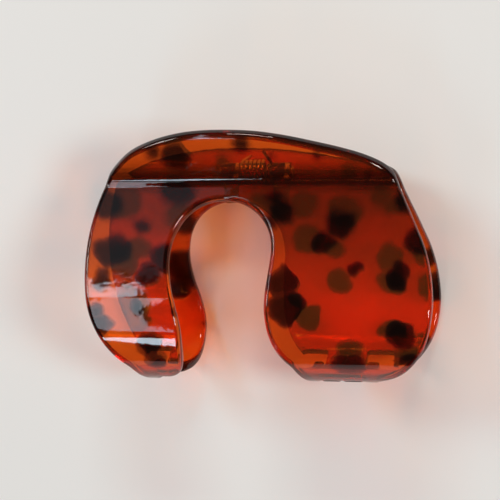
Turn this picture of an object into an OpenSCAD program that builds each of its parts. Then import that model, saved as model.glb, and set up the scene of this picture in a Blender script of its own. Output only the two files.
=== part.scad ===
// Arch-shaped claw clip, closed and lying on its back jaw.
// X runs along the hinge pin, +Y runs from the teeth to the levers, +Z is up.
// The origin is under the middle of the clip, on the surface that it lies on.

/* [Sheet] */
// Thickness of the acetate sheet that both jaws are cut from
sheet_t = 3.5; // [3:0.1:4]
// Half of the closed clip's depth, and radius of the curled jaw
curl_r = 19.2; // [18.5:0.1:20]
// Drop from the crease to the centre of the curl
curl_drop = 37.9; // [36:0.1:40]
// Distance of the crease's outer face from the middle plane
crease_depth = 7.6; // [7.2:0.1:8.2]
// Radius of the crease on its outer face
crease_r = 3; // [2:0.5:4]
// Outward lean of the front lever from the middle plane
lever_angle = 42; // [40:1:44]
// Outward lean of the back lever, which is shorter and rests on the table by its end
back_lever_angle = 50; // [46:1:52]

/* [Teeth] */
// Space left on each side of a tooth
tooth_gap = 0.2; // [0.15:0.05:0.4]
// How far the front jaw's teeth curl past the middle plane
front_reach = 20; // [16:1:26]
// How far the back jaw's teeth curl past the middle plane
back_reach = 12; // [8:1:12]
// How far the notches of the back jaw run back from the middle plane
back_notch = 43; // [42:1:50]

/* [Hinge] */
// Height of the pin above the crease
pin_height = 4; // [3.5:0.5:4.5]
// Middle of the spring along the pin
hinge_x = -2.1; // [-3:0.1:0]
// Diameter of the pin
pin_d = 2; // [1.6:0.1:2.2]
// Diameter of the pin's upset ends
pin_head_d = 3.4; // [3:0.1:4]
// Outer diameter of a lug's knuckle
knuckle_d = 5.4; // [5:0.1:6]
// Width of a lug of the front jaw
front_lug_w = 3.3; // [2.5:0.1:4]
// Width of a lug of the back jaw
back_lug_w = 2.1; // [2:0.1:3]
// Space between the lugs for the spring
spring_space = 9.2; // [9:0.1:11]
// Mean radius of the spring's coil
coil_r = 3.1; // [2.8:0.1:3.3]
// Diameter of the spring's wire
wire_d = 1; // [0.8:0.1:1]
// Distance between turns of the coil
coil_pitch = 1.2; // [1.2:0.05:1.3]
// How far up the levers the spring's legs reach
leg_reach = 9; // [7:1:11]

/* [Hidden] */
$fn = 96;
shell_colour = "darkorange";
lug_colour = "saddlebrown";
steel_colour = "silver";

// Outline of one sheet before it is bent: across, and along the sheet from the crease.
// It runs down the outside of the narrow leg, round the cut-out, up the wide leg
// and back over the lever.
outline = [
    [-45.2, 0], [-47.6, -7], [-49.1, -14.5], [-49.6, -22], [-49.2, -30], [-47.6, -38.5],
    [-44.6, -46.5], [-40.6, -53.5], [-35.8, -59.5], [-30.5, -63.8], [-26.3, -64.4],
    [-23.2, -61.5], [-21.5, -56.5], [-20.9, -50], [-21.1, -43], [-22.6, -36],
    [-24.4, -29], [-25.1, -22], [-23.9, -15.3], [-20.7, -9.7], [-15.8, -6.2],
    [-10, -5.1], [-4.6, -6.2], [0.2, -9.7], [3.2, -14.6], [4.1, -20], [3.6, -26.5],
    [3, -33], [3.2, -40], [5, -48], [9, -55.5], [14.8, -62], [21, -66], [27.5, -67.2],
    [34, -65.4], [39.6, -61], [44.6, -54], [48.1, -46], [49.6, -36.5], [49.2, -28],
    [47.5, -20], [44.8, -13], [42, -6.5], [39, 0], [35.6, 4.4], [30.4, 7.7],
    [24, 10.3], [16, 12.8], [8, 15], [0, 16.5], [-8, 17], [-16, 16.8], [-23, 15.7],
    [-30, 13.4], [-36.4, 10], [-41.2, 5.5]
];
steps = 3;

// Notches of the back jaw, which take the front jaw's teeth: left edge, right edge, and
// the side on which the tooth narrows to follow the outline (-1 left, 1 right)
notches = [[-37.1, -30.2, -1], [10.3, 17, -1], [29.2, 36.6, 1]];
// The back jaw's pair of teeth, which close up the front jaw's edge, and their slot
tooth_pair = [17, 29.2];
slot = [22.7, 23.3];
// How far in from its notch the narrowing side of a tooth is, at angles on the curl
narrowing = [[38, 0], [30, 0.6], [22, 1.4], [14, 2.3], [6, 3], [-5, 3.4], [-45, 3.6]];
past_end = 45;

// The flat of the body leans out until it meets the curl
flat_span = norm([curl_drop, crease_depth]);
flat_lean = asin(curl_r / flat_span) - atan2(crease_depth, curl_drop);
flat_len = sqrt(pow(flat_span, 2) - pow(curl_r, 2));
curl_end = 90 + flat_lean;
sheet_len = flat_len + curl_r * curl_end * PI / 180;
curl_steps = 48;
crease_steps = 6;
far = 60;
zone_lap = 0.2;

// The crease is an arc between the flat of the body and the lever, whose lean is lean
function half_fold(lean) = (180 - flat_lean - lean) / 2;
function crease_trim(lean) = crease_r / tan(half_fold(lean));
function middle_line(lean) = [sin((flat_lean - lean) / 2), cos((flat_lean - lean) / 2)];
function crease_c(lean) = [0, crease_depth] + crease_r / sin(half_fold(lean)) * middle_line(lean);
function jaw_lean(front) = front ? lever_angle : back_lever_angle;

// Lug layout along the pin, and the pad where a lug meets the sheet's inner face
lug_gap = 0.15;
pin_play = 0.05;
pin_head_t = 0.6;
leg_gap = 0.15;
lug_foot = 1.2;
end_turn = 300;
front_left_x = hinge_x - spring_space / 2 - front_lug_w;
back_right_x = hinge_x + spring_space / 2;
front_right_x = back_right_x + back_lug_w + lug_gap;
function inner_face(s) = [s * cos(flat_lean) - sheet_t * sin(flat_lean),
                          crease_depth - s * sin(flat_lean) - sheet_t * cos(flat_lean)];
pad_low = inner_face(-4.7);
pad_foot = pad_low - lug_foot * [-sin(flat_lean), cos(flat_lean)];
function pad_mid(lean) = inner_face(-crease_trim(lean));
function pad_top(lean) = crease_c(lean) - [0, crease_r + sheet_t];
pin_at = [pin_height, 0];

// Extent of the closed clip, which sets the origin
lever_len = max([for (p = outline) p[1]]);
back_lever_len = (curl_r - crease_depth - 0.23) / sin(back_lever_angle);
top_y = lever_len * cos(lever_angle) + sheet_t * sin(lever_angle);
low_y = -curl_drop - curl_r;
mid_y = (top_y + low_y) / 2;

// Spline through the points of the outline
function spline(a, b, c, d, t) =
    0.5 * (2 * b + (c - a) * t + (2 * a - 5 * b + 4 * c - d) * t * t
           + (3 * b - a - 3 * c + d) * t * t * t);
function smooth(p, n) = [for (i = [0 : len(p) - 1], k = [0 : n - 1])
    spline(p[(i + len(p) - 1) % len(p)], p[i], p[(i + 1) % len(p)],
           p[(i + 2) % len(p)], k / n)];
front_edge = smooth(outline, steps);
back_edge = [for (p = front_edge) [p[0], p[1] > 0 ? p[1] * back_lever_len / lever_len : p[1]]];

// Angle on the curl, from straight down, of a place along the sheet
function curl_angle(s) = (s + sheet_len) / curl_r * 180 / PI;

// A point on the curl, at a radius and an angle from straight down
function on_curl(r, a) = [-curl_drop - r * cos(a), r * sin(a)];
function lever_point(s, t, lean) = [s * cos(lean) + t * sin(lean),
                                    crease_depth + s * sin(lean) - t * cos(lean)];

// One face of the bent sheet, in the YZ plane, from the lever's end to the teeth's ends
function sheet_face(t, lean) = concat(
    [lever_point(lever_len + 1, t, lean)],
    [for (k = [0 : crease_steps])
        let (a = -lean + (flat_lean + lean) * k / crease_steps)
        crease_c(lean) - (crease_r + t) * [sin(a), cos(a)]],
    [for (k = [0 : curl_steps])
        let (a = curl_end - (curl_end + front_reach) * k / curl_steps)
        on_curl(curl_r - t, a)]);

module bent_sheet(lean) {
    outer = sheet_face(0, lean);
    inner = sheet_face(sheet_t, lean);
    rotate([90, 0, 90])
        linear_extrude(110, center = true)
            polygon(concat(outer, [for (k = [len(inner) - 1 : -1 : 0]) inner[k]]));
}

// The jaw is cut from the bent sheet in zones, each square to the sheet at its middle.
// Each zone has the angle of its cut and the area of the YZ plane that it covers.
function ray(a) = on_curl(far, a);
function curl_zones(lean) = [
    [curl_end, [crease_c(lean) + far * middle_line(lean), crease_c(lean) - 16 * middle_line(lean),
                on_curl(0, 0), ray(86)]],
    [63, [on_curl(0, 0), ray(87), ray(41)]],
    [20, [on_curl(0, 0), ray(42), ray(-3)]],
    [-22, [on_curl(0, 0), ray(-2), ray(-50)]]
];
function lever_zone(lean) =
    let (c = crease_c(lean) - [zone_lap, 0])
    [c + far * middle_line(lean), c - 16 * middle_line(lean), [far, -5], [far, far]];

// Where an angle on the curl falls on the plane that a zone's cut is square to. Past
// 60 degrees, which no zone uses, it runs on at an even rate.
function on_plane(d) = abs(d) < 60 ? curl_r * sin(d)
    : sign(d) * curl_r * (sin(60) + (abs(d) - 60) * PI / 180);
function place(s, a) = s > -flat_len && a == curl_end ? s + flat_len : on_plane(curl_angle(s) - a);

module plane_shape(front, a) {
    difference() {
        union() {
            polygon([for (p = front ? front_edge : back_edge) [p[0], place(p[1], a)]]);
            if (front)
                for (notch = notches)
                    plane_tooth(notch, a);
            else
                plane_cell([tooth_pair[0] + tooth_gap, tooth_pair[1] - tooth_gap], -back_reach, 20, a);
        }
        if (front)
            plane_cell(tooth_pair, -past_end, back_reach + 2, a);
        else
            for (cell = concat(notches, [slot]))
                plane_cell(cell, -past_end, back_notch, a);
    }
}

module plane_cell(cell, from, to, a) {
    low = on_plane(from - a);
    high = on_plane(to - a);
    translate([cell[0], low])
        square([cell[1] - cell[0], high - low]);
}

// A tooth of the front jaw, with one side straight and one that narrows
module plane_tooth(notch, a) {
    left = notch[2] < 0;
    outer = left ? notch[0] + tooth_gap : notch[1] - tooth_gap;
    inner = left ? notch[1] - tooth_gap : notch[0] + tooth_gap;
    polygon(concat([for (n = narrowing) [outer - notch[2] * n[1], on_plane(n[0] - a)]],
                   [[inner, on_plane(-past_end - a)], [inner, on_plane(28 - a)]]));
}

module zone(area) {
    rotate([90, 0, 90])
        linear_extrude(111, center = true)
            polygon(area);
}

module frame_round() {
    linear_extrude(2 * far, center = true)
        difference() {
            square(3 * far, center = true);
            children();
        }
}

// One jaw: the bent sheet without what lies outside its outline
module jaw(front) {
    lean = jaw_lean(front);
    difference() {
        bent_sheet(lean);
        intersection() {
            zone(lever_zone(lean));
            translate([0, 0, crease_depth])
                rotate([lean, 0, 0])
                    frame_round()
                        polygon(front ? front_edge : back_edge);
        }
        for (z = curl_zones(lean))
            intersection() {
                zone(z[1]);
                translate([0, -curl_drop, 0])
                    rotate([90 - z[0], 0, 0])
                        frame_round()
                            plane_shape(front, z[0]);
            }
    }
}

// Places a shape of the front half in the closed clip
module front_side() {
    translate([0, -mid_y, curl_r])
        children();
}

module back_side() {
    translate([0, -mid_y, curl_r])
        mirror([0, 0, 1])
            children();
}

module front_jaw() {
    color(shell_colour)
        front_side()
            jaw(true);
}

module back_jaw() {
    color(shell_colour)
        back_side()
            jaw(false);
}

// A lug: a knuckle round the pin on a web that is bonded inside the crease
module lug(width, bore, lean) {
    web_along = (pin_at - pad_mid(lean)) / norm(pin_at - pad_mid(lean));
    web_across = [-web_along[1], web_along[0]];
    difference() {
        union() {
            translate([0, pin_height, 0])
                rotate([0, 90, 0])
                    cylinder(d = knuckle_d, h = width);
            rotate([90, 0, 90])
                linear_extrude(width)
                    polygon([pad_low, pad_mid(lean), pad_top(lean), pin_at + 1.5 * web_along + 2.2 * web_across,
                             pin_at + 1.5 * web_along - 2.2 * web_across, pad_foot]);
        }
        translate([-1, pin_height, 0])
            rotate([0, 90, 0])
                cylinder(d = bore, h = width + 2);
    }
}

// The lugs alternate along the pin: back, front, spring, back, front
module back_lug(x) {
    color(lug_colour)
        back_side()
            translate([x, 0, 0])
                lug(back_lug_w, pin_d, back_lever_angle);
}

module front_lug(x) {
    color(lug_colour)
        front_side()
            translate([x, 0, 0])
                lug(front_lug_w, pin_d + 2 * pin_play, lever_angle);
}

module back_lug_left() {
    back_lug(front_left_x - lug_gap - back_lug_w);
}

module back_lug_right() {
    back_lug(back_right_x);
}

module front_lug_left() {
    front_lug(front_left_x);
}

module front_lug_right() {
    front_lug(front_right_x);
}

// The pin, with both ends upset over the outer lugs
module hinge_pin() {
    start = front_left_x - lug_gap - back_lug_w;
    end = front_right_x + front_lug_w + lug_gap;
    color(steel_colour)
        front_side()
            translate([start, pin_height, 0])
                rotate([0, 90, 0]) {
                    cylinder(d = pin_d, h = end - start);
                    translate([0, 0, -pin_head_t])
                        cylinder(d = pin_head_d, h = pin_head_t);
                    translate([0, 0, end - start])
                        cylinder(d = pin_head_d, h = pin_head_t);
                }
}

// Where a leg of the spring rests inside a lever, and where it leaves the coil
function leg_end(lean) = lever_point(leg_reach, sheet_t + wire_d / 2 + leg_gap, lean);
function leg_from_pin(lean) = leg_end(lean) - pin_at;
function leave_angle(lean) = atan2(leg_from_pin(lean)[1], leg_from_pin(lean)[0])
                             - acos(coil_r / norm(leg_from_pin(lean)));

// The coil and its back leg: up the leg, then round the pin
coil_len = spring_space - 2 * wire_d - 4 * lug_gap;
coil_turns = coil_len / coil_pitch;
coil_x = hinge_x - spring_space / 2 + wire_d / 2 + lug_gap;
turn_steps = 20;
coil_route = concat(
    [concat([coil_x], leg_end(back_lever_angle))],
    [for (i = [0 : coil_turns * turn_steps])
        let (a = leave_angle(back_lever_angle) - i * 360 / turn_steps)
        [coil_x + coil_pitch * i / turn_steps, pin_height + coil_r * cos(a), coil_r * sin(a)]]);

// A tube swept along a route that stays nearly square to X
module tube(route, d) {
    sides = 10;
    last = len(route) - 1;
    rings = [for (i = [0 : last])
        let (ahead = route[min(i + 1, last)] - route[max(i - 1, 0)],
             along = ahead / norm(ahead),
             u = [1, 0, 0] - along[0] * along,
             v = cross(along, u / norm(u)))
        [for (k = [0 : sides - 1])
            route[i] + d / 2 * (cos(k * 360 / sides) * u / norm(u) + sin(k * 360 / sides) * v)]];
    walls = [for (i = [0 : last - 1], k = [0 : sides - 1])
        let (a = i * sides + k, b = i * sides + (k + 1) % sides)
        [a, a + sides, b + sides, b]];
    ends = [[for (k = [0 : sides - 1]) k],
            [for (k = [0 : sides - 1]) (last + 1) * sides - 1 - k]];
    polyhedron([for (r = rings, p = r) p], concat(walls, ends));
}

module torsion_spring() {
    color(steel_colour)
        back_side()
            tube(coil_route, wire_d);
}

// The spring's last turn and front leg, which turn with the front jaw
module spring_front_leg() {
    turn_x = hinge_x + spring_space / 2 - wire_d / 2 - lug_gap;
    leave = leave_angle(lever_angle);
    leg_len = sqrt(pow(norm(leg_from_pin(lever_angle)), 2) - pow(coil_r, 2));
    color(steel_colour)
        front_side() {
            translate([turn_x, pin_height, 0])
                rotate([0, -90, 0])
                    rotate([0, 0, 90 - leave])
                        rotate_extrude(angle = end_turn)
                            translate([coil_r, 0])
                                circle(d = wire_d, $fn = 24);
            translate([turn_x, pin_height + coil_r * cos(leave), coil_r * sin(leave)])
                rotate([leave, 0, 0])
                    cylinder(d = wire_d, h = leg_len, $fn = 24);
        }
}

back_jaw();
front_jaw();
back_lug_left();
back_lug_right();
front_lug_left();
front_lug_right();
hinge_pin();
torsion_spring();
spring_front_leg();
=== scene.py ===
import math

import bmesh
import bpy
from mathutils import Matrix, Vector
from mathutils.geometry import tessellate_polygon


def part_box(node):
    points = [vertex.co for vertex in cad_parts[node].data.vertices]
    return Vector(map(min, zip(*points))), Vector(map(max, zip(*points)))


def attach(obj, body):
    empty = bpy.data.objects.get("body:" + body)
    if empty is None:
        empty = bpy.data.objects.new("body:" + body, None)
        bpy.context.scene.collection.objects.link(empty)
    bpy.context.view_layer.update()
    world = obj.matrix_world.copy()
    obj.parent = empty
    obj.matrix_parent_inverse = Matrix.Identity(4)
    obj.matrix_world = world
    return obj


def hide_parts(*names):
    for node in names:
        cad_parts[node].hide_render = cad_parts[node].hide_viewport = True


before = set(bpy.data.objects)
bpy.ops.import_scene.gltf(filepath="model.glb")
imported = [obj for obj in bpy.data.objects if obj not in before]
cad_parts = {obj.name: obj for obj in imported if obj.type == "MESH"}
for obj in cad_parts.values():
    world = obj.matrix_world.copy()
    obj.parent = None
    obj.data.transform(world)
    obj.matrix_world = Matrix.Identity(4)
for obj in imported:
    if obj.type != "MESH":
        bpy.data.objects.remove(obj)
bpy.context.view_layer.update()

MM = 0.001

# The bent sheet, in millimetres, as the CAD model has it
SHEET_T = 3.5
CURL_R = 19.2
CURL_DROP = 37.9
CREASE_DEPTH = 7.6
CREASE_R = 3.0
FRONT_LEVER_LEAN = math.radians(42)
BACK_LEVER_LEAN = math.radians(50)
LEVER_LEN = 17.0
PIN_HEIGHT = 4.0

# The teeth, with angles on the curl in degrees from the middle plane
TOOTH_GAP = 0.2
FRONT_REACH = -19.6
BACK_REACH = -11.6
FRONT_EDGE = 14
BACK_NOTCH = 43

# The hinge, laid out along the pin as the CAD model has it
HINGE_X = -2.1
PIN_D = 2.0
PIN_PLAY = 0.05
PIN_HEAD_D = 3.4
PIN_HEAD_T = 0.6
KNUCKLE_D = 5.4
FRONT_LUG_W = 3.3
BACK_LUG_W = 2.1
SPRING_SPACE = 9.2
LUG_GAP = 0.15
LUG_FOOT = 1.2
LUG_RIM = 0.3
LUG_PAD_LOW = 4.7
WEB_PAST_PIN = 1.5
WEB_HALF_W = 2.2
PIN_SIDES = 40
BORE_SIDES = 32

# The spring
COIL_R = 3.1
WIRE_D = 1.0
COIL_PITCH = 1.2
LEG_REACH = 9.0
LEG_GAP = 0.15
END_TURN = math.radians(300)
TURN_STEPS = 48
WIRE_SIDES = 20

# The polished rim: how far its rounding runs in from the edge
RIM = 1.35
TOOTH_RIM = 0.7
CORNER_R = 1.0
RIM_STEPS = 6

# Below this the outline is the end of a leg, where teeth and notches are cut
LEGS_BELOW = -50

# The outline of a sheet before it is bent: across, and along the sheet from the crease
OUTLINE = [
    (-45.2, 0), (-47.6, -7), (-49.1, -14.5), (-49.6, -22), (-49.2, -30), (-47.6, -38.5),
    (-44.6, -46.5), (-40.6, -53.5), (-35.8, -59.5), (-30.5, -63.8), (-26.3, -64.4),
    (-23.2, -61.5), (-21.5, -56.5), (-20.9, -50), (-21.1, -43), (-22.6, -36),
    (-24.4, -29), (-25.1, -22), (-23.9, -15.3), (-20.7, -9.7), (-15.8, -6.2),
    (-10, -5.1), (-4.6, -6.2), (0.2, -9.7), (3.2, -14.6), (4.1, -20), (3.6, -26.5),
    (3, -33), (3.2, -40), (5, -48), (9, -55.5), (14.8, -62), (21, -66), (27.5, -67.2),
    (34, -65.4), (39.6, -61), (44.6, -54), (48.1, -46), (49.6, -36.5), (49.2, -28),
    (47.5, -20), (44.8, -13), (42, -6.5), (39, 0), (35.6, 4.4), (30.4, 7.7),
    (24, 10.3), (16, 12.8), (8, 15), (0, 16.5), (-8, 17), (-16, 16.8), (-23, 15.7),
    (-30, 13.4), (-36.4, 10), (-41.2, 5.5),
]

# Notches of the back jaw, which take the front jaw's teeth: left edge, right edge, and
# the side on which the tooth narrows to follow the outline (-1 left, 1 right)
LEG_NOTCH = (-37.1, -30.2, -1)
LEFT_NOTCH = (10.3, 17.0, -1)
RIGHT_NOTCH = (29.2, 36.6, 1)
SLOT = (22.7, 23.3)
NARROWING = [(30, 0.6), (22, 1.4), (14, 2.3), (6, 3.0), (-5, 3.4), (FRONT_REACH, 3.5)]

# Dark spots right through the sheet, from two cell patterns laid over each other. For each:
# how far apart its cells are, the share without a spot, and the smallest and largest radius.
SPOT_LAYERS = [(12.5, 0.30, 2.0, 4.7), (17.0, 0.45, 3.0, 6.2)]

# Each jaw is cut from its own place in the block: across, along
FRONT_CUT = (137.0, 80.0)
BACK_CUT = (310.0, 50.0)

# The flat of the body leans out until it meets the curl
FLAT_SPAN = math.hypot(CURL_DROP, CREASE_DEPTH)
FLAT_LEAN = math.asin(CURL_R / FLAT_SPAN) - math.atan2(CREASE_DEPTH, CURL_DROP)
FLAT_LEN = math.sqrt(FLAT_SPAN ** 2 - CURL_R ** 2)
CURL_END = math.pi / 2 + FLAT_LEAN
SHEET_LEN = FLAT_LEN + CURL_R * CURL_END

# The back lever is shorter, so that its end is as far from the middle plane
BACK_LEVER_LEN = (CURL_R - CREASE_DEPTH - 0.23) / math.sin(BACK_LEVER_LEAN)

# The crease's height in the frame, from the height of the pin there
pin_low, pin_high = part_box("hinge_pin")
PIN_Y = (pin_low.y + pin_high.y) / 2 / MM
MIDDLE_Z = (pin_low.z + pin_high.z) / 2 / MM
CREASE_HEIGHT = PIN_Y - PIN_HEIGHT


def spline(points, steps):
    """A smooth closed curve through the points."""
    out = []
    n = len(points)
    for i in range(n):
        a, b, c, d = (Vector(points[(i + k) % n]) for k in (-1, 0, 1, 2))
        for k in range(steps):
            t = k / steps
            out.append(0.5 * (2 * b + (c - a) * t + (2 * a - 5 * b + 4 * c - d) * t * t
                              + (3 * b - a - 3 * c + d) * t ** 3))
    return out


def rounded(path, radius, steps=5):
    """The path with its inner corners rounded."""
    out = [path[0]]
    for a, b, c in zip(path, path[1:], path[2:]):
        before, after = a - b, c - b
        turn = before.angle(after)
        if turn > math.radians(165):
            out.append(b)
            continue
        r = min(radius, 0.48 * min(before.length, after.length) * math.tan(turn / 2))
        reach = r / math.tan(turn / 2)
        start, end = b + before.normalized() * reach, b + after.normalized() * reach
        towards = (before.normalized() + after.normalized()).normalized()
        centre = b + towards * (r / math.sin(turn / 2))
        sweep = (start - centre).angle_signed(end - centre)
        for k in range(steps + 1):
            spoke = (start - centre).copy()
            spoke.rotate(Matrix.Rotation(-sweep * k / steps, 2))
            out.append(centre + spoke)
    return out + [path[-1]]


def tooth(notch):
    """A tooth of the front jaw, from left to right: across, and angle on the curl."""
    left, right, side = notch
    if side < 0:
        slope = [(left + TOOTH_GAP + inset, angle) for angle, inset in NARROWING]
        return slope + [(right - TOOTH_GAP, FRONT_REACH), (right - TOOTH_GAP, FRONT_EDGE)]
    slope = [(right - TOOTH_GAP - inset, angle) for angle, inset in reversed(NARROWING[2:])]
    return [(left + TOOTH_GAP, FRONT_EDGE), (left + TOOTH_GAP, FRONT_REACH)] + slope


def tooth_pair():
    """The back jaw's two teeth, with a notch on either side."""
    left, right = LEFT_NOTCH[1] + TOOTH_GAP, RIGHT_NOTCH[0] - TOOTH_GAP
    return [(LEFT_NOTCH[0], BACK_NOTCH), (left, BACK_NOTCH), (left, BACK_REACH),
            (SLOT[0], BACK_REACH), (SLOT[0], BACK_NOTCH),
            (SLOT[1], BACK_NOTCH), (SLOT[1], BACK_REACH),
            (right, BACK_REACH), (right, BACK_NOTCH), (RIGHT_NOTCH[1], BACK_NOTCH)]


def leg_ends(is_front):
    """Where the outline gives way to teeth and notches, and their path."""
    narrow = [(LEG_NOTCH[0], BACK_NOTCH), (LEG_NOTCH[1], BACK_NOTCH)]
    wide = tooth_pair()
    if is_front:
        narrow = tooth(LEG_NOTCH)
        wide = tooth(LEFT_NOTCH) + tooth(RIGHT_NOTCH)
    return [(LEG_NOTCH[0], LEG_NOTCH[1], narrow), (LEFT_NOTCH[0], RIGHT_NOTCH[1], wide)]


def painted_edge_shade(p):
    """How much painted shade darkens the cut edge: most round the lever, least round the cut-out."""
    if p.y > 0:
        return 1.0
    in_cut_out = -27 < p.x < 8 and p.y > -58
    return 0.35 if in_cut_out else 0.75


def jaw_outline(is_front):
    """The whole outline of a jaw: points, widths of the rim's rounding and how much painted shade
    darkens the rim.
    """
    curve = spline(OUTLINE, 8)
    if not is_front:
        shorten = BACK_LEVER_LEN / LEVER_LEN
        curve = [Vector((p.x, p.y * shorten if p.y > 0 else p.y)) for p in curve]
    marked = [(p, RIM, painted_edge_shade(p)) for p in curve]
    for left, right, path in leg_ends(is_front):
        inside = [k for k, (p, w, tone) in enumerate(marked)
                  if left <= p.x <= right and p.y < LEGS_BELOW and w == RIM]
        first, last = inside[0], inside[-1]
        path = [Vector((x, CURL_R * math.radians(angle) - SHEET_LEN)) for x, angle in path]
        path = rounded([marked[first - 1][0]] + path + [marked[last + 1][0]], CORNER_R)
        marked[first:last + 1] = [(p, TOOTH_RIM, 0.5) for p in path[1:-1]]
    return marked


def spread(points, gap):
    """More points along the long stretches, so that no two are further apart than gap."""
    out = []
    for (p, w, tone), (q, v, next_tone) in zip(points, points[1:] + points[:1]):
        n = max(1, math.ceil((q - p).length / gap))
        for k in range(n):
            t = k / n
            out.append((p.lerp(q, t), w + (v - w) * t, tone + (next_tone - tone) * t))
    return out


def ease(widths, reach):
    """The widths with their steps smoothed out."""
    n = len(widths)
    return [min(w, sum(widths[(i + k) % n] for k in range(-reach, reach + 1)) / (2 * reach + 1))
            for i, w in enumerate(widths)]


def inset(points, i, width):
    """A point of the outline moved in by a width."""
    n = len(points)
    a, b, c = points[(i - 1) % n], points[i], points[(i + 1) % n]
    one, two = (b - a).normalized(), (c - b).normalized()
    along = (one + two).normalized()
    inward = Vector((-along.y, along.x))
    return b + inward * (width / max(0.6, along.dot(one)))


def fold(lever_lean):
    """The crease between the body and a lever: its half width along the sheet, and its centre."""
    half = (math.pi - FLAT_LEAN - lever_lean) / 2
    lean = (FLAT_LEAN - lever_lean) / 2
    reach = CREASE_R / math.sin(half)
    return CREASE_R / math.tan(half), reach * math.sin(lean), CREASE_DEPTH + reach * math.cos(lean)


def bend(x, s, d, lever_lean):
    """Where a point of the flat sheet goes, and its frame: along the sheet and outwards."""
    trim, crease_y, crease_z = fold(lever_lean)
    if s > trim:
        a = -lever_lean
        y = s * math.cos(a) - d * math.sin(a)
        z = CREASE_DEPTH - s * math.sin(a) - d * math.cos(a)
    elif s > -trim:
        a = -lever_lean + (FLAT_LEAN + lever_lean) * (trim - s) / (2 * trim)
        y = crease_y - (CREASE_R + d) * math.sin(a)
        z = crease_z - (CREASE_R + d) * math.cos(a)
    elif s > -FLAT_LEN:
        a = FLAT_LEAN
        y = s * math.cos(a) - d * math.sin(a)
        z = CREASE_DEPTH - s * math.sin(a) - d * math.cos(a)
    else:
        a = (s + SHEET_LEN) / CURL_R - math.pi / 2
        y = -CURL_DROP + (CURL_R - d) * math.sin(a)
        z = (CURL_R - d) * math.cos(a)
    along = Vector((0, math.cos(a), -math.sin(a)))
    outward = Vector((0, math.sin(a), math.cos(a)))
    return Vector((x, y, z)), along, outward


def bend_levels(trim):
    """Places along the sheet where its mesh is cut, close together where it bends."""
    levels = [trim * k / 5 for k in range(-5, 6)]
    curl = CURL_R * (CURL_END - math.radians(FRONT_REACH))
    levels += [-FLAT_LEN - curl * k / 72 for k in range(72)]
    return sorted(levels)


def flat_sheet(is_front, lever_lean):
    """The jaw as a flat polished sheet, with its outer face at z = 0."""
    marked = spread(jaw_outline(is_front), 0.7)
    points = [p for p, w, tone in marked]
    widths = ease([w for p, w, tone in marked], 3)
    bm = bmesh.new()
    rim = bm.verts.layers.float.new("rim")
    rings = []
    for side in (0, 1):
        for k in range(RIM_STEPS + 1):
            a = math.pi / 2 * (k / RIM_STEPS if side else 1 - k / RIM_STEPS)
            ring = []
            for i in range(len(points)):
                p = inset(points, i, widths[i] * (1 - math.cos(a)))
                drop = widths[i] * (1 - math.sin(a))
                v = bm.verts.new((p.x, p.y, -(SHEET_T - drop if side else drop)))
                # The rim attribute holds the painted shade on the cut edge, fading in from the edge
                v[rim] = marked[i][2] * max(0.0, 1 - math.sin(a)) ** 0.5
                ring.append(v)
            rings.append(ring)
    n = len(points)
    for one, two in zip(rings, rings[1:]):
        for i in range(n):
            bm.faces.new((one[i], two[i], two[(i + 1) % n], one[(i + 1) % n]))
    for ring, flip in ((rings[0], False), (rings[-1], True)):
        for tri in tessellate_polygon([[v.co for v in ring]]):
            corners = [ring[k] for k in tri]
            facing = (corners[1].co - corners[0].co).cross(corners[2].co - corners[0].co).z
            if (facing < 0) != flip:
                corners.reverse()
            bm.faces.new(corners)
    for level in bend_levels(fold(lever_lean)[0]):
        bmesh.ops.bisect_plane(bm, geom=bm.verts[:] + bm.edges[:] + bm.faces[:], dist=1e-5,
                               plane_co=(0, level, 0), plane_no=(0, 1, 0))
    bmesh.ops.recalc_face_normals(bm, faces=bm.faces[:])
    return bm


def make_jaw(name, is_front):
    """A jaw: the flat sheet bent into shape, with the flat sheet's coordinates as its UVs."""
    lever_lean = FRONT_LEVER_LEAN if is_front else BACK_LEVER_LEAN
    bm = flat_sheet(is_front, lever_lean)
    bm.normal_update()
    side = 1 if is_front else -1
    flats = []
    normals = []
    for v in bm.verts:
        x, s, d = v.co.x, v.co.y, -v.co.z
        flats.append((x, s))
        on_cap = d < 1e-4 or d > SHEET_T - 1e-4
        n = Vector((0, 0, 1 if d < 1 else -1)) if on_cap else v.normal.copy()
        place, along, outward = bend(x, s, d, lever_lean)
        v.co = Vector((place.x, place.y + CREASE_HEIGHT, MIDDLE_Z + side * place.z)) * MM
        turned = Vector((n.x, 0, 0)) + n.y * along + n.z * outward
        normals.append(Vector((turned.x, turned.y, side * turned.z)).normalized())
    if not is_front:
        bmesh.ops.reverse_faces(bm, faces=bm.faces[:])
    mesh = bpy.data.meshes.new(name)
    uv = bm.loops.layers.uv.new("sheet")
    bm.verts.index_update()
    for face in bm.faces:
        face.smooth = True
        for loop in face.loops:
            loop[uv].uv = Vector(flats[loop.vert.index]) / 100
    bm.to_mesh(mesh)
    bm.free()
    mesh.normals_split_custom_set_from_vertices(normals)
    jaw = bpy.data.objects.new(name, mesh)
    bpy.context.scene.collection.objects.link(jaw)
    return jaw


def in_frame(x, y, z, is_front):
    """A place in the frame, from across, height over the crease and distance from the middle plane."""
    return Vector((x, y + CREASE_HEIGHT, MIDDLE_Z + (z if is_front else -z))) * MM


def piece_from(name, verts, faces):
    """A smooth-shaded object, with its faces turned outwards."""
    mesh = bpy.data.meshes.new(name)
    mesh.from_pydata(verts, [], faces)
    bm = bmesh.new()
    bm.from_mesh(mesh)
    bmesh.ops.recalc_face_normals(bm, faces=bm.faces[:])
    for face in bm.faces:
        face.smooth = True
    for edge in bm.edges:
        edge.smooth = edge.calc_face_angle(0) < math.radians(40)
    bm.to_mesh(mesh)
    bm.free()
    piece = bpy.data.objects.new(name, mesh)
    bpy.context.scene.collection.objects.link(piece)
    return piece


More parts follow.
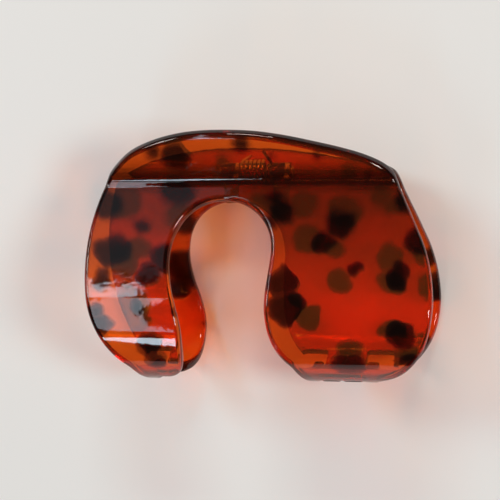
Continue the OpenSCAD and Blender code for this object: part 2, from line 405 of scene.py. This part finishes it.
def ring_faces(rows, n):
    """Faces between rows of n points that follow one another in a list."""
    return [(r * n + k, r * n + (k + 1) % n, (r + 1) * n + (k + 1) % n, (r + 1) * n + k)
            for r in range(rows - 1) for k in range(n)]


def lever_point(s, d, lean):
    """A place in a lever, in the plane across the pin: up the sheet and in from its outer face."""
    return Vector((s * math.cos(lean) + d * math.sin(lean),
                   CREASE_DEPTH + s * math.sin(lean) - d * math.cos(lean)))


def make_spring(name, x, pitch, sweep, lean, is_front):
    """A leg that rests on a lever, and the turns round the pin that follow it."""
    rest = lever_point(LEG_REACH, SHEET_T + WIRE_D / 2 + LEG_GAP, lean)
    arm = rest - Vector((PIN_HEIGHT, 0))
    leave = math.atan2(arm.y, arm.x) - math.acos(COIL_R / arm.length)
    route = [Vector((x, rest.x, rest.y))]
    steps = round(sweep / (2 * math.pi) * TURN_STEPS)
    for i in range(steps + 1):
        a = leave - sweep * i / steps
        route.append(Vector((x + pitch * (leave - a) / (2 * math.pi),
                             PIN_HEIGHT + COIL_R * math.cos(a), COIL_R * math.sin(a))))
    verts = []
    for i, centre in enumerate(route):
        ahead = (route[min(i + 1, len(route) - 1)] - route[max(i - 1, 0)]).normalized()
        u = (Vector((1, 0, 0)) - ahead.x * ahead).normalized()
        v = ahead.cross(u)
        for k in range(WIRE_SIDES):
            turn = 2 * math.pi * k / WIRE_SIDES
            p = centre + WIRE_D / 2 * (math.cos(turn) * u + math.sin(turn) * v)
            verts.append(in_frame(*p, is_front))
    faces = ring_faces(len(route), WIRE_SIDES)
    faces += [tuple(range(WIRE_SIDES)), tuple(range(len(verts) - WIRE_SIDES, len(verts)))]
    return piece_from(name, verts, faces)


def make_pin(name, start, end):
    """The pin, with rounded upset ends."""
    head = PIN_HEAD_D / 2
    profile = [(-PIN_HEAD_T, 0.0), (-PIN_HEAD_T, 0.6 * head), (-0.85 * PIN_HEAD_T, 0.82 * head),
               (-0.55 * PIN_HEAD_T, 0.96 * head), (-0.2 * PIN_HEAD_T, head), (0, head), (0, PIN_D / 2)]
    profile = [(start + x, r) for x, r in profile] + [(end - x, r) for x, r in reversed(profile)]
    verts = []
    for x, r in profile:
        for k in range(PIN_SIDES):
            turn = 2 * math.pi * k / PIN_SIDES
            verts.append(in_frame(x, PIN_HEIGHT + r * math.cos(turn), r * math.sin(turn), True))
    return piece_from(name, verts, ring_faces(len(profile), PIN_SIDES))


def lug_profile(lean):
    """A lug's outline across the pin: its pad on the sheet, then round the knuckle."""
    sheet = Vector((math.cos(FLAT_LEAN), -math.sin(FLAT_LEAN)))
    outward = Vector((math.sin(FLAT_LEAN), math.cos(FLAT_LEAN)))
    trim, crease_y, crease_z = fold(lean)
    inner = Vector((0, CREASE_DEPTH)) - SHEET_T * outward
    low, mid = inner - LUG_PAD_LOW * sheet, inner - trim * sheet
    foot = low - LUG_FOOT * outward
    top = Vector((crease_y, crease_z - CREASE_R - SHEET_T))
    pin = Vector((PIN_HEIGHT, 0))
    along = (pin - mid).normalized()
    across = Vector((-along.y, along.x))
    near_top = (WEB_PAST_PIN * along + WEB_HALF_W * across).normalized() * KNUCKLE_D / 2
    near_foot = (WEB_PAST_PIN * along - WEB_HALF_W * across).normalized() * KNUCKLE_D / 2
    sweep = near_top.angle_signed(near_foot)
    path = [foot, low, mid, top]
    for k in range(17):
        spoke = near_top.copy()
        spoke.rotate(Matrix.Rotation(-sweep * k / 16, 2))
        path.append(pin + spoke)
    turns = sum(a.x * b.y - b.x * a.y for a, b in zip(path, path[1:] + path[:1]))
    return path if turns > 0 else path[::-1]


def make_lug(name, x, width, bore, lean, is_front):
    """A lug with rounded edges, bored for the pin."""
    outline = lug_profile(lean)
    levels = []
    for k in range(4):
        a = math.pi / 2 * k / 3
        levels.append((x + LUG_RIM * (1 - math.sin(a)), LUG_RIM * (1 - math.cos(a))))
        levels.append((x + width - LUG_RIM * (1 - math.sin(a)), LUG_RIM * (1 - math.cos(a))))
    levels.sort()
    verts = []
    for level, shrink in levels:
        for i in range(len(outline)):
            p = inset(outline, i, shrink)
            verts.append(in_frame(level, p.x, p.y, is_front))
    faces = ring_faces(len(levels), len(outline))
    sides = BORE_SIDES
    first = len(verts)
    bore_ring = [Vector((PIN_HEIGHT + bore / 2 * math.cos(2 * math.pi * k / sides),
                         bore / 2 * math.sin(2 * math.pi * k / sides))) for k in range(sides)]
    for level in (x, x + width):
        verts += [in_frame(level, p.x, p.y, is_front) for p in bore_ring]
    faces += [tuple(first + k for k in face) for face in ring_faces(2, sides)]
    edge = [inset(outline, i, LUG_RIM) for i in range(len(outline))]
    loops = [[(*p, 0) for p in edge], [(*p, 0) for p in bore_ring]]
    last = (len(levels) - 1) * len(outline)
    for rim_start, bore_start in ((0, first), (last, first + sides)):
        index = [rim_start + k for k in range(len(outline))] + [bore_start + k for k in range(sides)]
        faces += [tuple(index[k] for k in tri) for tri in tessellate_polygon(loops)]
    return piece_from(name, verts, faces)


class Nodes:
    """Short names for adding and linking shader nodes."""

    def __init__(self, name):
        self.material = bpy.data.materials.new(name)
        self.material.use_nodes = True
        self.tree = self.material.node_tree
        self.shader = self.tree.nodes["Principled BSDF"]
        self.output = self.tree.nodes["Material Output"]

    def add(self, kind, **settings):
        node = self.tree.nodes.new(kind)
        for key, value in settings.items():
            setattr(node, key, value)
        return node

    def link(self, source, target):
        self.tree.links.new(source, target)

    def math(self, operation, a, b=None, c=None):
        node = self.add("ShaderNodeMath", operation=operation)
        for socket, value in zip(node.inputs, (a, b, c)):
            if value is None:
                continue
            if isinstance(value, (int, float)):
                socket.default_value = value
            else:
                self.link(value, socket)
        return node.outputs[0]

    def noise(self, vector, scale, detail=2.0, roughness=0.5):
        node = self.add("ShaderNodeTexNoise")
        node.inputs["Scale"].default_value = scale
        node.inputs["Detail"].default_value = detail
        node.inputs["Roughness"].default_value = roughness
        self.link(vector, node.inputs["Vector"])
        return node.outputs["Fac"], node.outputs["Color"]

    def blend(self, factor, a, b):
        node = self.add("ShaderNodeMix", data_type="RGBA")
        self.link(factor, node.inputs["Factor"])
        for socket, value in ((node.inputs["A"], a), (node.inputs["B"], b)):
            if isinstance(value, tuple):
                socket.default_value = (*value, 1)
            else:
                self.link(value, socket)
        return node.outputs["Result"]

    def ramp(self, value, low_high, to, smooth=False):
        node = self.add("ShaderNodeMapRange", clamp=True)
        node.interpolation_type = "SMOOTHSTEP" if smooth else "LINEAR"
        node.inputs["From Min"].default_value, node.inputs["From Max"].default_value = low_high
        node.inputs["To Min"].default_value, node.inputs["To Max"].default_value = to
        self.link(value, node.inputs["Value"])
        return node.outputs[0]

    def let_light_through(self, colour):
        """Lamps shine through the plastic, so that it casts a coloured shadow."""
        path = self.add("ShaderNodeLightPath")
        clear = self.add("ShaderNodeBsdfTransparent")
        mix = self.add("ShaderNodeMixShader")
        self.link(colour, clear.inputs["Color"])
        self.link(path.outputs["Is Shadow Ray"], mix.inputs[0])
        self.link(self.shader.outputs[0], mix.inputs[1])
        self.link(clear.outputs[0], mix.inputs[2])
        self.link(mix.outputs[0], self.output.inputs["Surface"])

    def set(self, **values):
        for key, value in values.items():
            self.shader.inputs[key.replace("_", " ")].default_value = value


def spot_field(m, place):
    """How far inside a spot a place is, in millimetres, and below 0 outside the spots."""
    field = None
    for spacing, empty, smallest, largest in SPOT_LAYERS:
        cells = m.add("ShaderNodeTexVoronoi", voronoi_dimensions="2D", feature="F1")
        cells.inputs["Scale"].default_value = 1 / spacing
        cells.inputs["Randomness"].default_value = 0.7
        m.link(place, cells.inputs["Vector"])
        chance = m.add("ShaderNodeSeparateColor")
        m.link(cells.outputs["Color"], chance.inputs[0])
        radius = m.ramp(chance.outputs[0], (empty, 1), (smallest, largest))
        radius = m.math("SUBTRACT", radius,
                        m.math("MULTIPLY", m.math("LESS_THAN", chance.outputs[0], empty), 2 * spacing))
        depth = m.math("SUBTRACT", radius, m.math("MULTIPLY", cells.outputs["Distance"], spacing))
        field = depth if field is None else m.math("SMOOTH_MAX", field, depth, 1.6)
    return field


def tortoiseshell(name, cut):
    """Polished amber acetate with dark spots right through the sheet."""
    m = Nodes(name)
    uv = m.add("ShaderNodeUVMap", uv_map="sheet")
    flat = m.add("ShaderNodeVectorMath", operation="MULTIPLY")
    flat.inputs[1].default_value = (100, 100, 0)
    m.link(uv.outputs[0], flat.inputs[0])
    split = m.add("ShaderNodeSeparateXYZ")
    m.link(flat.outputs[0], split.inputs[0])
    along = split.outputs["Y"]

    # The spots' edges wander a little
    _, wander = m.noise(flat.outputs[0], 0.13, 3.0)
    centred = m.add("ShaderNodeVectorMath", operation="SUBTRACT")
    centred.inputs[1].default_value = (0.5, 0.5, 0.5)
    m.link(wander, centred.inputs[0])
    shift = m.add("ShaderNodeVectorMath", operation="MULTIPLY_ADD")
    shift.inputs[1].default_value = (5.5, 5.5, 0)
    m.link(centred.outputs[0], shift.inputs[0])
    m.link(flat.outputs[0], shift.inputs[2])
    placed = m.add("ShaderNodeVectorMath", operation="ADD")
    placed.inputs[1].default_value = (*cut, 0)
    m.link(shift.outputs[0], placed.inputs[0])
    field = spot_field(m, placed.outputs[0])

    # Fewer of them on the lever and on the teeth
    field = m.math("ADD", field, m.ramp(along, (-4, 4), (0, -1.4)))
    field = m.math("ADD", field, m.ramp(along, (-60, -56), (-2.5, 0)))

    # Spots near the crease have soft edges, those lower down crisp ones
    soft = m.ramp(along, (-26, -8), (0.45, 1.5))
    edge = m.math("MULTIPLY", m.math("ADD", m.math("DIVIDE", field, soft), 1.0), 0.5)
    dark = m.ramp(edge, (0, 1), (0, 1), smooth=True)

    # Cloudy amber, with fine specks
    cloud, _ = m.noise(flat.outputs[0], 0.06, 3.0)
    amber = m.blend(cloud, (0.94, 0.35, 0.075), (0.86, 0.24, 0.035))
    specks, _ = m.noise(flat.outputs[0], 2.6, 1.0)
    speck = m.ramp(specks, (0.66, 0.74), (0, 0.45))
    amber = m.blend(speck, amber, (0.35, 0.08, 0.02))

    # Painted shade: browner and darker towards the crease, less so up the lever, and painted shade in
    # dark streaks along the crease
    near = m.math("MULTIPLY", m.ramp(along, (-34, -2), (0.12, 0.72), smooth=True),
                  m.ramp(along, (4, 9), (1.0, 0.35), smooth=True))
    amber = m.blend(near, amber, (0.42, 0.10, 0.03))
    stretch = m.add("ShaderNodeVectorMath", operation="MULTIPLY")
    stretch.inputs[1].default_value = (0.035, 1.0, 0)
    m.link(flat.outputs[0], stretch.inputs[0])
    lines, _ = m.noise(stretch.outputs[0], 1.1, 3.0, 0.6)
    # The streaks of painted shade lie in a band round the crease
    off_crease = m.math("ABSOLUTE", m.math("SUBTRACT", along, 1.0))
    band = m.math("SUBTRACT", 1.0, m.math("DIVIDE", off_crease, 4.5))
    streaks = m.math("MULTIPLY", m.math("SUBTRACT", lines, 0.5), 1.6)
    crease_shade_streaks = m.ramp(m.math("ADD", band, streaks), (0.1, 0.8), (0, 0.9))
    amber = m.blend(crease_shade_streaks, amber, (0.10, 0.025, 0.012))

    # The spots are deeper in their middles
    deep = m.ramp(field, (0, 1.8), (0, 1))
    brown = m.blend(deep, (0.20, 0.06, 0.03), (0.06, 0.022, 0.014))
    colour = m.blend(dark, amber, brown)

    # Painted shade: the cut edge is darkened in the colour, standing in for the light that runs a long
    # way inside the sheet to it
    rim = m.add("ShaderNodeAttribute", attribute_name="rim").outputs["Fac"]
    colour = m.blend(m.math("MULTIPLY", rim, 0.98), colour, (0.045, 0.012, 0.008))
    # Painted shade: darker towards the ends of the legs, where the curl turns away edge-on
    painted_leg_end_shade = m.ramp(along, (-66.5, -63), (0.93, 0), smooth=True)
    colour = m.blend(painted_leg_end_shade, colour, (0.06, 0.014, 0.008))
    m.link(colour, m.shader.inputs["Base Color"])

    # Hand polish leaves the faces very slightly uneven
    ripple, _ = m.noise(flat.outputs[0], 0.22, 2.0)
    bump = m.add("ShaderNodeBump")
    bump.inputs["Strength"].default_value = 0.12
    bump.inputs["Distance"].default_value = 0.0002
    m.link(ripple, bump.inputs["Height"])
    m.link(bump.outputs[0], m.shader.inputs["Normal"])

    m.set(Roughness=0.03, IOR=1.49, Transmission_Weight=0.95)
    absorb = m.add("ShaderNodeVolumeAbsorption")
    absorb.inputs["Color"].default_value = (0.988, 0.815, 0.55, 1)
    absorb.inputs["Density"].default_value = 1200
    m.link(absorb.outputs[0], m.output.inputs["Volume"])
    m.let_light_through(m.blend(dark, (0.86, 0.74, 0.32), (0.25, 0.12, 0.06)))
    return m.material


def moulded(name):
    """Dark amber moulded plastic, for the lugs."""
    m = Nodes(name)
    place = m.add("ShaderNodeTexCoord").outputs["Object"]
    cloud, _ = m.noise(place, 300, 3.0)
    colour = m.blend(cloud, (0.42, 0.09, 0.025), (0.24, 0.05, 0.018))
    m.link(colour, m.shader.inputs["Base Color"])
    m.set(Roughness=0.12, IOR=1.49, Transmission_Weight=0.9)
    m.let_light_through(colour)
    return m.material


def steel(name, roughness):
    """Drawn spring steel with fine marks along the wire."""
    m = Nodes(name)
    place = m.add("ShaderNodeTexCoord").outputs["Object"]
    grain, _ = m.noise(place, 4000, 3.0)
    colour = m.blend(grain, (0.50, 0.49, 0.47), (0.72, 0.71, 0.69))
    m.link(colour, m.shader.inputs["Base Color"])
    rough = m.ramp(grain, (0, 1), (roughness * 0.7, roughness * 1.4))
    m.link(rough, m.shader.inputs["Roughness"])
    m.set(Metallic=1.0)
    return m.material


def table_top(name):
    """Pale matt table, barely mottled."""
    m = Nodes(name)
    place = m.add("ShaderNodeTexCoord").outputs["Object"]
    mottle, _ = m.noise(place, 9, 2.0)
    colour = m.blend(mottle, (0.80, 0.79, 0.77), (0.82, 0.81, 0.80))
    m.link(colour, m.shader.inputs["Base Color"])
    m.set(Roughness=0.7)
    return m.material


def finish_with(obj, material):
    obj.data.materials.clear()
    obj.data.materials.append(material)


def place_on_body(piece, node, body, material):
    """The piece stands in for a CAD node and moves with its body."""
    finish_with(piece, material)
    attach(piece, body)
    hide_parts(node)


def make_hinge():
    """The lugs, which alternate along the pin: back, front, spring, back, front; and the steel."""
    front_left = HINGE_X - SPRING_SPACE / 2 - FRONT_LUG_W
    back_left = front_left - LUG_GAP - BACK_LUG_W
    back_right = HINGE_X + SPRING_SPACE / 2
    front_right = back_right + BACK_LUG_W + LUG_GAP
    bore = PIN_D + 2 * PIN_PLAY
    lug_plastic = moulded("lug_plastic")
    for node, x in (("back_lug_left", back_left), ("back_lug_right", back_right)):
        lug = make_lug(node + "_shape", x, BACK_LUG_W, PIN_D, BACK_LEVER_LEAN, False)
        place_on_body(lug, node, "back", lug_plastic)
    for node, x in (("front_lug_left", front_left), ("front_lug_right", front_right)):
        lug = make_lug(node + "_shape", x, FRONT_LUG_W, bore, FRONT_LEVER_LEAN, True)
        place_on_body(lug, node, "front", lug_plastic)
    pin = make_pin("pin_shape", back_left, front_right + FRONT_LUG_W + LUG_GAP)
    place_on_body(pin, "hinge_pin", "back", steel("pin_steel", 0.25))
    make_spring_pieces()


def make_spring_pieces():
    """The spring is one wire, parted where the front jaw's last turn leaves the coil."""
    spring_steel = steel("spring_steel", 0.18)
    coil_left = HINGE_X - SPRING_SPACE / 2 + WIRE_D / 2 + LUG_GAP
    coil_sweep = (SPRING_SPACE - 2 * WIRE_D - 4 * LUG_GAP) / COIL_PITCH * 2 * math.pi
    coil = make_spring("coil_shape", coil_left, COIL_PITCH, coil_sweep, BACK_LEVER_LEAN, False)
    place_on_body(coil, "torsion_spring", "back", spring_steel)
    turn_x = HINGE_X + SPRING_SPACE / 2 - WIRE_D / 2 - LUG_GAP
    front_leg = make_spring("front_leg_shape", turn_x, 0.0, END_TURN, FRONT_LEVER_LEAN, True)
    place_on_body(front_leg, "spring_front_leg", "front", spring_steel)


def make_camera():
    place = Vector((79.9, 12.3, 457.9)) * MM
    target = Vector((-0.6, 2.0, 38.4)) * MM
    back = (place - target).normalized()
    right = Vector((0, 1, 0)).cross(back).normalized()
    up = back.cross(right)
    data = bpy.data.cameras.new("camera")
    data.sensor_width = 36
    data.lens = 111.2
    camera = bpy.data.objects.new("camera", data)
    camera.matrix_world = Matrix.Translation(place) @ Matrix((right, up, back)).transposed().to_4x4()
    bpy.context.scene.collection.objects.link(camera)
    bpy.context.scene.camera = camera


def soft_light(name, place, aim, size, colour, power):
    data = bpy.data.lights.new(name, "AREA")
    data.shape = "RECTANGLE"
    data.size, data.size_y = size
    data.color = colour
    data.energy = power
    light = bpy.data.objects.new(name, data)
    light.location = place
    light.rotation_mode = "QUATERNION"
    light.rotation_quaternion = (Vector(place) - Vector(aim)).to_track_quat("Z", "Y")
    bpy.context.scene.collection.objects.link(light)


def window(name, across, along, colour, glow):
    """A level panel of light a metre up, as bright as a glow."""
    width, length = across[1] - across[0], along[1] - along[0]
    place = (sum(across) / 2, sum(along) / 2, 1.0)
    soft_light(name, place, (place[0], place[1], 0), (width, length), colour,
               glow * math.pi * width * length)


def make_floor():
    bm = bmesh.new()
    bmesh.ops.create_grid(bm, x_segments=8, y_segments=8, size=3)
    mesh = bpy.data.meshes.new("floor")
    bm.to_mesh(mesh)
    bm.free()
    floor = bpy.data.objects.new("floor", mesh)
    bpy.context.scene.collection.objects.link(floor)
    finish_with(floor, table_top("table"))


def make_world():
    """A pale room behind the clip, but dark where a glossy face reflects it."""
    world = bpy.data.worlds.new("room")
    world.use_nodes = True
    tree = world.node_tree
    background = tree.nodes["Background"]
    background.inputs["Color"].default_value = (1.0, 0.98, 0.96, 1)
    path = tree.nodes.new("ShaderNodeLightPath")
    seen = tree.nodes.new("ShaderNodeMapRange")
    seen.inputs["To Min"].default_value = 0.24
    seen.inputs["To Max"].default_value = 0.75
    tree.links.new(path.outputs["Is Camera Ray"], seen.inputs["Value"])
    strength = tree.nodes.new("ShaderNodeMapRange")
    strength.inputs["To Max"].default_value = 0.03
    tree.links.new(path.outputs["Is Glossy Ray"], strength.inputs["Value"])
    tree.links.new(seen.outputs[0], strength.inputs["To Min"])
    tree.links.new(strength.outputs[0], background.inputs["Strength"])
    bpy.context.scene.world = world


def make_lights():
    clip = (0, 0, 0.01)
    warm = (1.0, 0.94, 0.87)
    soft_light("softbox_far", (0, 1.5, 1.05), clip, (0.6, 0.3), warm, 8.5)
    soft_light("softbox_right", (1.1, 0, 1.2), clip, (0.4, 0.4), warm, 10)
    soft_light("softbox_left", (-1.1, 0.6, 1.0), clip, (0.5, 0.5), (1.0, 0.97, 0.95), 7.5)
    # Windows overhead to the left, which the narrow leg reflects
    blue = (0.70, 0.88, 1.0)
    window("window", (-0.36, -0.29), (-0.58, 0.50), blue, 4.2)
    window("window_far", (-0.42, -0.34), (0.51, 0.645), blue, 8.0)
    window("window_near", (-0.45, -0.34), (-1.62, -0.88), blue, 14.0)
    window("window_high", (-0.60, -0.26), (0.66, 0.82), blue, 0.35)


bpy.context.scene.view_settings.view_transform = "Standard"
make_camera()
make_world()
make_lights()
make_floor()

front_jaw = make_jaw("front_jaw_shell", True)
back_jaw = make_jaw("back_jaw_shell", False)
place_on_body(front_jaw, "front_jaw", "front", tortoiseshell("front_tortoiseshell", FRONT_CUT))
place_on_body(back_jaw, "back_jaw", "back", tortoiseshell("back_tortoiseshell", BACK_CUT))

make_hinge()
